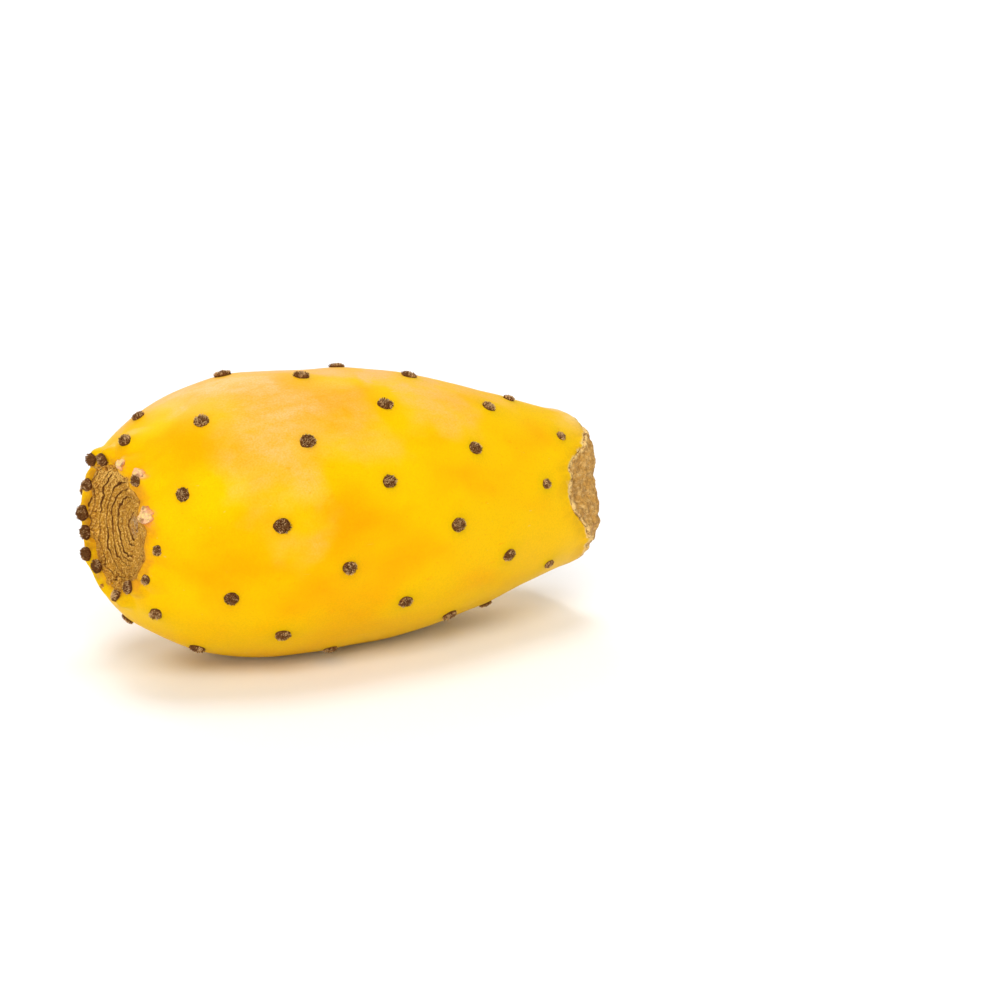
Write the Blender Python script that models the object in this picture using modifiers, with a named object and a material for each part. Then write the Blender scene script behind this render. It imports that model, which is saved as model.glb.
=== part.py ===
"""A ripe, whole prickly pear fruit that lies on its side: one solid, as it grew.

The fruit is modelled the way it stands on the plant, with the stem scar at the bottom
and the flower scar on top. It is then laid down along X, with the flower end at -X.
Lengths are in metres and +Z is up. The origin is on the surface that the fruit lies on,
below the middle of its outline.
"""

import math

import bmesh
import bpy
import numpy as np
from mathutils import Matrix, Vector

MM = 0.001

# The fruit's outline, turned about its axis: each knot is (distance from the flower
# end's plane, radius) in millimetres.
FLOWER_SCAR_KNOTS = [(3.4, 0.0), (3.3, 3.0), (2.9, 6.0), (1.7, 9.0), (0.6, 10.8)]
SKIN_KNOTS = [
    (0.0, 12.2),  # the rim round the flower scar
    (1.3, 13.8),
    (4.6, 16.3),
    (12.6, 20.9),
    (24.4, 24.0),  # the belly, which is widest from here
    (37.9, 24.0),  # to here
    (52.3, 23.1),
    (66.7, 20.0),
    (78.4, 16.7),
    (85.6, 14.6),
    (89.4, 13.6),
]
STEM_SCAR_KNOTS = [(90.3, 12.9), (90.2, 12.1), (89.2, 9.8), (88.5, 5.0), (88.4, 0.0)]
FRUIT_LENGTH = 90.3 * MM

# How it lies: the stem end hangs a little lower than the flower end.
STEM_END_DROOP = math.radians(2.7)
STEM_END_AT = (45.95 * MM, 0.0, 21.16 * MM)
REST_CUTTER_SIZE = (120 * MM, 80 * MM, 10 * MM)

# The body's mesh: rings across the axis, and steps round it. Faces that meet at less
# than SHARP_ANGLE are shaded as one smooth surface.
STEPS_ROUND = 60
RINGS_IN_FLOWER_SCAR = 12
RINGS_ON_SHOULDER = 10
RINGS_ON_FLANK = 26
RINGS_AT_STEM_END = 12
RINGS_IN_STEM_SCAR = 6
SHOULDER_LENGTH = 12 * MM
STEM_END_LENGTH = 12 * MM
MERGE_DISTANCE = 0.01 * MM
SHARP_ANGLE = math.radians(35)

# The flower scar's cork has cracked into ledges. They are ovals that lie off its middle,
# the more so the smaller they are. Shift and stretch are along X and Y, for the innermost
# one. Both scars are less than SCAR_DEPTH deep.
LEDGES = 4
LEDGE_HEIGHT = 0.22 * MM
LEDGE_SHIFT = (0.8 * MM, -3.4 * MM)
LEDGE_STRETCH = (0.25, -0.15)
SCAR_DEPTH = 4 * MM

# A flap of skin tore off with the stem. It was longest at TEAR_ANGLE. Past its torn line
# the flesh is a step lower than the skin and slopes down to the stem scar. It is lowered
# inwards and, by the slant, away from the stem.
TEAR_ANGLE = math.radians(75)
TEAR_SPREAD = math.radians(30)
TEAR_SLANT = math.radians(25)
TEAR_LENGTH = 9.5 * MM
TEAR_STEP = 0.5 * MM
TEAR_STEP_WIDTH = 1.0 * MM
TEAR_SLOPE = 0.15
TEAR_FADE = 5 * MM

# The areoles follow the golden angle, one after another from the flower end to the stem
# end. Their distance along the skin is crowded at the rim and even further down. The
# rings that they make lean, so that they lie further from the rim on the -Y side.
AREOLES = 67
GOLDEN_ANGLE = math.pi * (3 - math.sqrt(5))
FIRST_AREOLE_ANGLE = math.radians(-119)
FIRST_AREOLE_ALONG = -0.6 * MM
AREOLE_STEP = 1.65 * MM
CROWDED_AREOLES = 12.2
CROWDING_FADE = 1.5
AREOLE_LEAN = 1.4 * MM
AREOLE_CLEAR_OF_STEM_SCAR = 4 * MM

# Some areoles stray from that rule: (millimetres along the skin, millimetres round it).
STRAYS = {
    0: (-0.5, 2.0),
    1: (0.5, 1.0),
    2: (0.0, -6.0),
    3: (0.0, 2.0),
    4: (0.5, -0.5),
    5: (-1.5, 0.5),
    6: (0.5, 1.5),
    7: (1.0, -2.5),
    8: (0.0, 2.0),
    9: (0.5, 1.0),
    10: (-0.5, -4.5),
    11: (0.5, 4.0),
    12: (0.5, 0.0),
    13: (-2.5, 0.5),
    15: (0.0, -1.5),
    17: (-1.0, 0.5),
    19: (-1.5, 5.0),
    20: (2.0, 0.5),
    22: (-1.5, -0.5),
    23: (-2.0, -2.5),
    25: (1.0, 0.5),
    27: (2.0, -2.0),
    30: (0.0, 0.5),
    35: (-1.0, -2.5),
    40: (3.0, 3.0),
    43: (-3.5, -1.0),
    48: (-0.5, 2.0),
    51: (-2.0, 0.0),
    56: (-1.5, 2.0),
    59: (0.5, -0.5),
    61: (-0.5, 6.5),
}

# An areole is a low cushion of felt, wider along the fruit than round it.
AREOLE_RADIUS_AT_RIM = 1.20 * MM
AREOLE_RADIUS_ON_BELLY = 1.45 * MM
AREOLE_RADIUS_AT_STEM = 0.80 * MM
AREOLE_HEIGHT = 0.75 * MM
AREOLE_ROOT = 0.55 * MM
AREOLE_ROUND_SHARE = 0.92
AREOLE_ALONG_SHARE = 1.10
AREOLE_SIDES = 8
AREOLE_RINGS = 4

# Each areole sits on a swelling, which stands out at the rim and fades on the belly.
# Between the swellings on the rim, the skin dips below the turned outline.
SWELLING_AT_RIM = 1.15 * MM
SWELLING_ON_BELLY = 0.28 * MM
SWELLING_FADE = 7 * MM
SWELLING_WIDTH_AT_RIM = 2.1 * MM
SWELLING_WIDTH_ON_BELLY = 4.2 * MM
RIM_DIP = 0.6 * MM
RIM_DIP_WIDTH = 4.5 * MM

MATERIALS = {
    "ripe_skin": ((0.95, 0.52, 0.02), 0.42),
    "scar_cork": ((0.47, 0.22, 0.05), 0.85),
    "areole_felt": ((0.13, 0.07, 0.03), 0.90),
}
SKIN, CORK, FELT = range(3)


def start_empty():
    for thing in list(bpy.data.objects):
        bpy.data.objects.remove(thing)


def make_materials():
    """One Principled material for each finish, in the order of SKIN, CORK and FELT."""
    made = []
    for name, (colour, roughness) in MATERIALS.items():
        material = bpy.data.materials.new(name)
        material.use_nodes = True
        shader = material.node_tree.nodes["Principled BSDF"]
        shader.inputs["Base Color"].default_value = (*colour, 1.0)
        shader.inputs["Roughness"].default_value = roughness
        shader.inputs["Metallic"].default_value = 0.0
        made.append(material)
    return made


def new_collection(name):
    collection = bpy.data.collections.new(name)
    bpy.context.scene.collection.children.link(collection)
    return collection


def smooth_outline(knots, points_a_span=24):
    """A smooth run of points through the knots, which start and end on the axis.

    Each span is a cubic Hermite curve over its chord's length. The slope at a knot is the
    mean of its two chords' slopes, weighted to the shorter one. The knots are mirrored
    beyond the axis, so that the curve crosses it squarely.
    """
    knots = np.array(knots)
    mirror = np.array([1, -1])
    knots = np.vstack([knots[1] * mirror, knots, knots[-2] * mirror])
    chords = np.linalg.norm(np.diff(knots, axis=0), axis=1)[:, None]
    slopes = np.diff(knots, axis=0) / chords
    before, after = chords[:-1], chords[1:]
    tangents = (slopes[:-1] * after + slopes[1:] * before) / (before + after)
    starts, ends = knots[1:-2, None], knots[2:-1, None]
    length = chords[1:-1, None]
    t = np.linspace(0, 1, points_a_span, endpoint=False)[None, :, None]
    curve = (
        starts * (1 + 2 * t) * (1 - t) ** 2
        + length * tangents[:-1, None] * t * (1 - t) ** 2
        + ends * t**2 * (3 - 2 * t)
        + length * tangents[1:, None] * t**2 * (t - 1)
    )
    return np.vstack([curve.reshape(-1, 2), knots[-2]])


class Outline:
    """The turned outline. Distance along the skin is counted from the rim's crest: it is
    negative in the flower scar, and more than skin_length in the stem scar."""

    def __init__(self):
        knots = FLOWER_SCAR_KNOTS + SKIN_KNOTS + STEM_SCAR_KNOTS
        points = smooth_outline(knots) * MM
        self.radius = points[:, 1]
        self.height = FRUIT_LENGTH - points[:, 0]
        steps = np.linalg.norm(np.diff(points, axis=0), axis=1)
        run = np.concatenate([[0], np.cumsum(steps)])
        per_span = (len(points) - 1) // (len(knots) - 1)
        scar_length = run[len(FLOWER_SCAR_KNOTS) * per_span]
        stem_lip = (len(FLOWER_SCAR_KNOTS) + len(SKIN_KNOTS)) * per_span
        self.skin_length = run[stem_lip] - scar_length
        self.along = run - scar_length
        self.start, self.end = self.along[0], self.along[-1]

    def ring_at(self, along):
        """(radius, height) of the turned body at these distances along the skin."""
        radius = np.interp(along, self.along, self.radius)
        return radius, np.interp(along, self.along, self.height)

    def along_at(self, points):
        """Distances along the skin of points that lie on the turned body."""
        radius = np.hypot(points[:, 0], points[:, 1])[:, None]
        off = np.hypot(radius - self.radius, points[:, 2:] - self.height)
        return self.along[off.argmin(axis=1)]

    def point_at(self, along, angle):
        """Points of the turned body. The angle is counted round the axis, from the side
        that ends on top when the fruit is laid down, towards -Y."""
        radius, height = self.ring_at(along)
        return np.stack([radius * np.cos(angle), -radius * np.sin(angle), height], -1)

    def normal_at(self, along, angle, reach=0.2 * MM):
        """Outward unit normals: across the outline's slope, turned to the angle."""
        r_before, h_before = self.ring_at(along - reach)
        r_after, h_after = self.ring_at(along + reach)
        slope_r, slope_h = r_after - r_before, h_after - h_before
        size = np.hypot(slope_r, slope_h)
        out, up = -slope_h / size, slope_r / size
        return np.stack([out * np.cos(angle), -out * np.sin(angle), up], -1)


def areole_places(outline):
    """(along, angle) of every areole.

    The angle grows by the golden angle. The distance is step * fade * ln(1 + e^x), where
    x is the count past the crowded ones over the fade: near nothing at the rim, then even.
    """
    count = np.arange(AREOLES)
    angle = FIRST_AREOLE_ANGLE + GOLDEN_ANGLE * count
    along = np.logaddexp(0, (count - CROWDED_AREOLES) / CROWDING_FADE)
    along = FIRST_AREOLE_ALONG + along * AREOLE_STEP * CROWDING_FADE
    along = along + AREOLE_LEAN * np.sin(angle)
    for number, (further, round_skin) in STRAYS.items():
        along[number] += further * MM
        angle[number] += round_skin * MM / outline.ring_at(along[number])[0]
    return np.minimum(along, outline.skin_length - AREOLE_CLEAR_OF_STEM_SCAR), angle


def rim_dip(along):
    """How far the skin dips between the swellings: a bell curve over the rim's crest."""
    return RIM_DIP * np.exp(-((along / RIM_DIP_WIDTH) ** 2))


def swelling_height(points, along, areole_points, areole_along):
    """How far the skin stands out over the turned body: the highest of the areoles'
    swellings at each point, each a bell curve of the distance from its areole, less the
    dip. A swelling is higher by the dip at its areole."""
    fade = np.exp(-areole_along / SWELLING_FADE)
    height = SWELLING_ON_BELLY + (SWELLING_AT_RIM - SWELLING_ON_BELLY) * fade
    width = (
        SWELLING_WIDTH_ON_BELLY
        + (SWELLING_WIDTH_AT_RIM - SWELLING_WIDTH_ON_BELLY) * fade
    )
    distance = np.linalg.norm(points[:, None] - areole_points[None], axis=2)
    bells = (height + rim_dip(areole_along)) * np.exp(-((distance / width) ** 2))
    return bells.max(axis=1) - rim_dip(along)


def ledge_relief(radius, scar_radius):
    """The ledges' height in the flower scar: a sine of the radius, fading at its edge."""
    share = np.clip(radius / scar_radius, 0, 1)
    return LEDGE_HEIGHT * np.sin(2 * np.pi * LEDGES * share) * (1 - share**4)


def torn_flesh(along, angle, outline):
    """(depth, direction) of the torn flesh. The depth below the skin's level is nought up
    to the torn line, then a step and a slope, which fade out on the way into the scar."""
    turn = (angle - TEAR_ANGLE + math.pi) % (2 * math.pi) - math.pi
    length = TEAR_LENGTH * np.exp(-((turn / TEAR_SPREAD) ** 2))
    past = np.clip(along - outline.skin_length + length, 0, None)
    step = TEAR_STEP * np.clip(past / TEAR_STEP_WIDTH, 0, 1)
    slope = TEAR_SLOPE * np.minimum(past, length)
    into_scar = np.clip((along - outline.skin_length) / TEAR_FADE, 0, 1)
    depth = (step + slope) * (length / TEAR_LENGTH) * (1 - into_scar)
    inward, upward = -math.cos(TEAR_SLANT), np.full_like(angle, math.sin(TEAR_SLANT))
    return depth, np.stack([inward * np.cos(angle), -inward * np.sin(angle), upward], -1)


def ring_distances(outline):
    """Distances along the skin of the mesh's rings, close together at the two ends."""
    shoulder = SHOULDER_LENGTH
    stem_end = outline.skin_length - STEM_END_LENGTH
    zones = [
        np.linspace(outline.start, 0, RINGS_IN_FLOWER_SCAR, endpoint=False),
        np.linspace(0, shoulder, RINGS_ON_SHOULDER, endpoint=False),
        np.linspace(shoulder, stem_end, RINGS_ON_FLANK, endpoint=False),
        np.linspace(stem_end, outline.skin_length, RINGS_AT_STEM_END, endpoint=False),
        np.linspace(outline.skin_length, outline.end, RINGS_IN_STEM_SCAR + 1),
    ]
    return np.concatenate(zones)


def turned_body(outline, materials):
    """The outline turned about the axis with a Screw modifier, which is then applied."""
    radius, height = outline.ring_at(ring_distances(outline))
    radius[[0, -1]] = 0
    points = [(r, 0, h) for r, h in zip(radius, height)]
    edges = [(i, i + 1) for i in range(len(points) - 1)]
    profile = bpy.data.meshes.new("outline")
    profile.from_pydata(points, edges, [])
    turned = bpy.data.objects.new("outline", profile)
    bpy.context.scene.collection.objects.link(turned)
    screw = turned.modifiers.new("turn", "SCREW")
    screw.steps = screw.render_steps = STEPS_ROUND
    screw.use_merge_vertices = True
    screw.merge_threshold = MERGE_DISTANCE
    body = evaluated_mesh(turned)
    bpy.data.objects.remove(turned)
    for material in materials:
        body.materials.append(material)
    return body


def evaluated_mesh(thing):
    graph = bpy.context.evaluated_depsgraph_get()
    return bpy.data.meshes.new_from_object(thing.evaluated_get(graph))


def shape_body(body, outline, areoles):
    """Raises the swellings all over and the ledges in the flower scar, and lowers the
    torn flesh at the stem end."""
    points = np.array([vertex.co for vertex in body.vertices])
    normals = np.array([vertex.normal for vertex in body.vertices])
    radius = np.hypot(points[:, 0], points[:, 1])
    scar_radius = FLOWER_SCAR_KNOTS[-1][1] * MM
    near_flower_end = points[:, 2] > FRUIT_LENGTH - SCAR_DEPTH
    in_scar = near_flower_end & (radius < scar_radius)
    along = outline.along_at(points)
    swelling = swelling_height(points, along, outline.point_at(*areoles), areoles[0])
    rise = swelling + np.where(in_scar, ledge_relief(radius, scar_radius), 0)
    turn = np.arctan2(-points[:, 1], points[:, 0])
    torn, lowered = torn_flesh(along, turn, outline)
    inward = np.where(in_scar, np.clip(1 - radius / scar_radius, 0, 1), 0)[:, None]
    points = points + normals * rise[:, None] + lowered * torn[:, None]
    points[:, :2] *= 1 + np.array(LEDGE_STRETCH) * inward
    points[:, :2] += np.array(LEDGE_SHIFT) * inward**2
    body.vertices.foreach_set("co", points.astype(np.float32).ravel())
    stem_scar_radius = STEM_SCAR_KNOTS[1][1] * MM
    in_stem_scar = (points[:, 2] < SCAR_DEPTH) & (radius < stem_scar_radius)
    corky = in_scar | in_stem_scar | (torn > TEAR_STEP / 2)
    for face in body.polygons:
        face.material_index = CORK if corky[list(face.vertices)].all() else SKIN


def areole_radius(along, skin_length):
    """An areole is widest on the belly and smallest next to the stem."""
    places = [0, 0.25 * skin_length, 0.65 * skin_length, skin_length]
    sizes = [
        AREOLE_RADIUS_AT_RIM,
        AREOLE_RADIUS_ON_BELLY,
        AREOLE_RADIUS_ON_BELLY,
        AREOLE_RADIUS_AT_STEM,
    ]
    return np.interp(along, places, sizes)


def add_areoles(outline, areoles, collection, materials):
    """A squashed sphere for every areole, a little wider along the fruit than round it,
    with its root sunk below the skin."""
    along, angle = areoles
    on_body = outline.point_at(along, angle)
    out = outline.normal_at(along, angle)
    skin = on_body + out * swelling_height(on_body, along, on_body, along)[:, None]
    sizes = areole_radius(along, outline.skin_length)
    for number, (place, normal, size) in enumerate(zip(skin, out, sizes)):
        shape = bmesh.new()
        bmesh.ops.create_uvsphere(
            shape, u_segments=AREOLE_SIDES, v_segments=AREOLE_RINGS, radius=1
        )
        half_round = size * AREOLE_ROUND_SHARE
        half_along = size * AREOLE_ALONG_SHARE
        flatten = Matrix.Diagonal((half_round, half_along, AREOLE_HEIGHT + AREOLE_ROOT, 1))
        across = Vector((0, 0, 1)).cross(Vector(normal)).normalized()
        upward = Vector(normal).cross(across)
        turn = Matrix((across, upward, Vector(normal))).transposed().to_4x4()
        root = Vector(place) - Vector(normal) * AREOLE_ROOT
        bmesh.ops.transform(
            shape, matrix=Matrix.Translation(root) @ turn @ flatten, verts=shape.verts
        )
        mesh = bpy.data.meshes.new(f"areole_{number}")
        shape.to_mesh(mesh)
        shape.free()
        for material in materials:
            mesh.materials.append(material)
        for face in mesh.polygons:
            face.material_index = FELT
        collection.objects.link(bpy.data.objects.new(mesh.name, mesh))


def fuse(fruit, collection):
    """Joins the collection's objects to the fruit with one Boolean union."""
    union = fruit.modifiers.new("areoles", "BOOLEAN")
    union.operation = "UNION"
    union.operand_type = "COLLECTION"
    union.collection = collection
    fused = evaluated_mesh(fruit)
    fruit.modifiers.remove(union)
    fruit.data = fused
    for thing in list(collection.objects):
        bpy.data.objects.remove(thing)
    bpy.data.collections.remove(collection)


def cut_rest_spot(fruit, collection):
    """Flattens the underside where the fruit rests, with a box below the surface."""
    bpy.ops.mesh.primitive_cube_add(size=1)
    cutter = bpy.context.active_object
    cutter.name = "rest_cutter"
    cutter.data.transform(Matrix.Diagonal((*REST_CUTTER_SIZE, 1)))
    cutter.location.z = -REST_CUTTER_SIZE[2] / 2
    for holder in list(cutter.users_collection):
        holder.objects.unlink(cutter)
    collection.objects.link(cutter)
    cutter.hide_render = True
    cutter.display_type = "WIRE"
    cut = fruit.modifiers.new("rest_spot", "BOOLEAN")
    cut.operation = "DIFFERENCE"
    cut.object = cutter


def main():
    start_empty()
    parts = new_collection("prickly_pear_fruit")
    areole_shapes = new_collection("areole_shapes")
    cutters = new_collection("cutters")
    materials = make_materials()
    outline = Outline()
    areoles = areole_places(outline)
    body = turned_body(outline, materials)
    shape_body(body, outline, areoles)
    add_areoles(outline, areoles, areole_shapes, materials)
    fruit = bpy.data.objects.new("fruit", body)
    parts.objects.link(fruit)
    fuse(fruit, areole_shapes)
    fruit.rotation_euler.y = STEM_END_DROOP - math.pi / 2
    fruit.location = STEM_END_AT
    fruit.data.shade_smooth()
    fruit.data.set_sharp_from_angle(angle=SHARP_ANGLE)
    cut_rest_spot(fruit, cutters)


main()
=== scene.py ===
# %% [markdown]
# # A prickly pear fruit
# One whole yellow fruit lies on its side. On the plant it grew with the stem end down and
# the flower end up, so its form is a turned outline, and all that sits on the skin follows
# two numbers: how far along the skin it is, and at which angle round the fruit. Every
# surface below is a formula of those two numbers, worked out in millimetres with numpy.
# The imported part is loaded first. It is the fixed frame, and the fine pieces stand in for
# its one solid without changing its size.

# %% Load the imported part
import math

import bpy
import numpy as np
from mathutils import Matrix, Vector


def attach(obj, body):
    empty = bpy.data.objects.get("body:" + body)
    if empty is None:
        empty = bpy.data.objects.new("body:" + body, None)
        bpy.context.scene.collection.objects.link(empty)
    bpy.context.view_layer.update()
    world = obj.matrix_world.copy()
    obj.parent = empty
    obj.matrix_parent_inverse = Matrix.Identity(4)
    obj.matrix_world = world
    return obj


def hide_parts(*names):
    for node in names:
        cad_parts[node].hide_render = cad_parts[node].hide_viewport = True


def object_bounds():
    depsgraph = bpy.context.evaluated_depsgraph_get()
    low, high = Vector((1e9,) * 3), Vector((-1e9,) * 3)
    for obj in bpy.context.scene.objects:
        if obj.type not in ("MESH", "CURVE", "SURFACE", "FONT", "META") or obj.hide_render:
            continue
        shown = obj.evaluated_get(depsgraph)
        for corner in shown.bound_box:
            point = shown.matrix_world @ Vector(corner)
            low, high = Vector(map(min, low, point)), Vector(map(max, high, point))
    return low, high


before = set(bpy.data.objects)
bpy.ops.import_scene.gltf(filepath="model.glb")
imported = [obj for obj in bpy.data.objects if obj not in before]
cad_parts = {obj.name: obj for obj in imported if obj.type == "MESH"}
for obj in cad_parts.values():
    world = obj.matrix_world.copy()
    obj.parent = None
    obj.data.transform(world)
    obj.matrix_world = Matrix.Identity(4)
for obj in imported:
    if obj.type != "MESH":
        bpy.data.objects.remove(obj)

CAD_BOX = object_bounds()
print("packed part, lowest and highest corner:", CAD_BOX)

# %% [markdown]
# ## The outline
# The fruit's outline runs from the middle of the flower scar, over the rim, along the
# skin and over the torn stem lip into the stem scar. A few knots give it, and a Hermite
# curve through them keeps it smooth. Drawing the curve by hand as a Bezier would do too,
# but then the other pieces couldn't ask it for a place.

# %% The outline's knots, as (distance from the flower end's plane, radius) in millimetres
MM = 0.001
FRUIT_LENGTH = 90.3
FLOWER_SCAR_KNOTS = [(3.4, 0.0), (3.3, 3.0), (2.9, 6.0), (1.7, 9.0), (0.6, 10.8)]
SKIN_KNOTS = [(0.0, 12.2), (1.3, 13.8), (4.6, 16.3), (12.6, 20.9), (24.4, 24.0), (37.9, 24.0)]
SKIN_KNOTS += [(52.3, 23.1), (66.7, 20.0), (78.4, 16.7), (85.6, 14.6), (89.4, 13.6)]
STEM_SCAR_KNOTS = [(90.3, 12.9), (90.2, 12.1), (89.2, 9.8), (88.5, 5.0), (88.4, 0.0)]
POINTS_A_SPAN = 24


def smooth_outline(knots):
    """Points of a smooth curve through the knots, from axis to axis.

    In each span the point is h0*start + h1*tangent + h2*end + h3*tangent, the cubic
    Hermite blend over the chord's length. The tangent at a knot is the mean of its two
    chords' slopes, weighted to the shorter chord. The ends are mirrored over the axis.
    """
    knots = np.array(knots)
    mirror = np.array([1, -1])
    knots = np.vstack([knots[1] * mirror, knots, knots[-2] * mirror])
    chords = np.linalg.norm(np.diff(knots, axis=0), axis=1)[:, None]
    slopes = np.diff(knots, axis=0) / chords
    before, after = chords[:-1], chords[1:]
    tangents = (slopes[:-1] * after + slopes[1:] * before) / (before + after)
    starts, ends = knots[1:-2, None], knots[2:-1, None]
    length = chords[1:-1, None]
    t = np.linspace(0, 1, POINTS_A_SPAN, endpoint=False)[None, :, None]
    curve = (
        starts * (1 + 2 * t) * (1 - t) ** 2
        + length * tangents[:-1, None] * t * (1 - t) ** 2
        + ends * t**2 * (3 - 2 * t)
        + length * tangents[1:, None] * t**2 * (t - 1)
    )
    return np.vstack([curve.reshape(-1, 2), knots[-2]])


OUTLINE = smooth_outline(FLOWER_SCAR_KNOTS + SKIN_KNOTS + STEM_SCAR_KNOTS)
OUTLINE_RUN = np.concatenate(
    [[0], np.cumsum(np.linalg.norm(np.diff(OUTLINE, axis=0), axis=1))]
)
CREST_POINT = len(FLOWER_SCAR_KNOTS) * POINTS_A_SPAN
STEM_LIP_POINT = CREST_POINT + len(SKIN_KNOTS) * POINTS_A_SPAN
OUTLINE_ALONG = OUTLINE_RUN - OUTLINE_RUN[CREST_POINT]
SCAR_MIDDLE = OUTLINE_ALONG[0]
STEM_LIP = OUTLINE_ALONG[STEM_LIP_POINT]
STEM_MIDDLE = OUTLINE_ALONG[-1]
print(f"from the rim's crest to the stem lip the skin is {STEM_LIP:.1f} mm long")

# %% [markdown]
# ## Places on the fruit
# Distance along the skin is counted from the rim's crest. It is negative in the flower
# scar. The angle is counted from the top of the lying fruit towards -Y, the side that is
# seen first. The last function lays a standing fruit down on its side, the way the packed
# part lies: turned about Y, with the stem end a little lower.

# %% From distance and angle to points and normals
STEM_END_DROOP = math.radians(2.7)
STEM_END_AT = np.array([45.95, 0.0, 21.16])
SLOPE_REACH = 0.2


def ring_at(along):
    """(radius, height) of the turned body: the outline read at that distance."""
    radius = np.interp(along, OUTLINE_ALONG, OUTLINE[:, 1])
    return radius, FRUIT_LENGTH - np.interp(along, OUTLINE_ALONG, OUTLINE[:, 0])


def body_point(along, angle):
    """(radius*cos, -radius*sin, height): the outline turned to the angle."""
    radius, height = ring_at(along)
    return np.stack([radius * np.cos(angle), -radius * np.sin(angle), height], -1)


def body_normal(along, angle):
    """The outline's slope turned a quarter outwards, then turned to the angle."""
    r_before, h_before = ring_at(along - SLOPE_REACH)
    r_after, h_after = ring_at(along + SLOPE_REACH)
    slope_r, slope_h = r_after - r_before, h_after - h_before
    size = np.maximum(np.hypot(slope_r, slope_h), 1e-9)
    out, up = -slope_h / size, slope_r / size
    return np.stack([out * np.cos(angle), -out * np.sin(angle), up], -1)


def lay_down(points):
    """Local millimetres to the frame's metres: a turn about Y, then the stem end's place.
    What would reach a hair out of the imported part's box is pressed flat on its side."""
    turn = STEM_END_DROOP - math.pi / 2
    x, y, z = points[..., 0], points[..., 1], points[..., 2]
    laid = np.stack(
        [x * math.cos(turn) + z * math.sin(turn), y, z * math.cos(turn) - x * math.sin(turn)],
        -1,
    )
    return np.clip((laid + STEM_END_AT) * MM, *np.array(CAD_BOX))


print(f"halfway down its skin the fruit is {2 * ring_at(STEM_LIP / 2)[0]:.1f} mm across")

# %% [markdown]
# ## Roughness that isn't random each time
# Natural surfaces need noise, and a script needs the same noise each time it runs. A
# small table of seeded numbers is laid over space as a lattice and blended smoothly
# between its points. Adding it up at finer and finer sizes gives crumbs and wrinkles.

# %% Lattice noise
LATTICE = 32
NOISE_TABLE = np.random.default_rng(7).uniform(-1, 1, (LATTICE, LATTICE, LATTICE))


def noise(points, size, shift=0.0):
    """Smooth noise from -1 to 1 with bumps of the given size: the eight numbers at the
    corners of a point's lattice cell, blended with the weights t*t*(3 - 2t)."""
    at = points / size + shift
    cell = np.floor(at).astype(int)
    t = at - cell
    t = t * t * (3 - 2 * t)
    total = 0
    for corner in np.ndindex(2, 2, 2):
        x, y, z = np.moveaxis((cell + corner) % LATTICE, -1, 0)
        value = NOISE_TABLE[x, y, z]
        for axis, far in enumerate(corner):
            value = value * (t[..., axis] if far else 1 - t[..., axis])
        total = total + value
    return total


def layered_noise(points, size, layers=3):
    """Noise plus half as much at half the size, and so on."""
    return sum(noise(points, size / 2**n, 5.3 * n) / 2**n for n in range(layers))


def smooth_step(value, low, high):
    """0 below low, 1 above high, and t*t*(3 - 2t) between them."""
    t = np.clip((value - low) / (high - low), 0, 1)
    return t * t * (3 - 2 * t)


def bell(value, width):
    """e^(-(value / width)^2): 1 at nought, and nearly 0 at twice the width."""
    return np.exp(-((value / width) ** 2))


print(f"the noise is read from {NOISE_TABLE.size} seeded numbers")

# %% [markdown]
# ## Meshes from grids
# A closed surface here is a grid of rings between two poles. One helper makes the faces
# for any such grid: fans at the poles, quads between the rings. Numbers for the materials,
# such as how deep a crack is, are stored on the mesh as attributes.

# %% Objects and meshes


def link(name, data):
    """An object of that name for a mesh, a light or a camera, put into the scene."""
    piece = bpy.data.objects.new(name, data)
    bpy.context.scene.collection.objects.link(piece)
    return piece


def mesh_from(name, points, faces):
    """A mesh of the points and of groups of faces, given as point numbers."""
    mesh = bpy.data.meshes.new(name)
    lists = [face for group in faces for face in group.tolist()]
    mesh.from_pydata(points.reshape(-1, 3).tolist(), [], lists)
    mesh.update()
    mesh.shade_smooth()
    print(f"{name}: {len(mesh.vertices)} points, {len(mesh.polygons)} faces")
    return mesh


# %% A closed mesh of rings, and attributes on it


def ring_grid(rows, steps):
    """Each row's number and the angle, for every point of a grid of rings."""
    angle = np.linspace(0, 2 * math.pi, steps, endpoint=False)
    return np.meshgrid(rows, angle, indexing="ij")


def ring_faces(rings, around):
    """Faces of a grid of rings whose first and last rings are single points."""
    first = 1 + np.arange(rings - 2)[:, None] * around + np.arange(around)[None, :]
    after = np.roll(first, -1, axis=1)
    quads = np.stack([first[:-1], after[:-1], after[1:], first[1:]], -1).reshape(-1, 4)
    last = 1 + (rings - 2) * around
    start_fan = np.stack([np.zeros(around, int), after[0], first[0]], -1)
    end_fan = np.stack([first[-1], after[-1], np.full(around, last)], -1)
    return start_fan, quads, end_fan


def store(mesh, name, values):
    """Keeps one number for every point of the mesh, for a material to read."""
    layer = mesh.attributes.new(name, "FLOAT", "POINT")
    layer.data.foreach_set("value", np.ascontiguousarray(values, dtype=np.float32))


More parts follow.
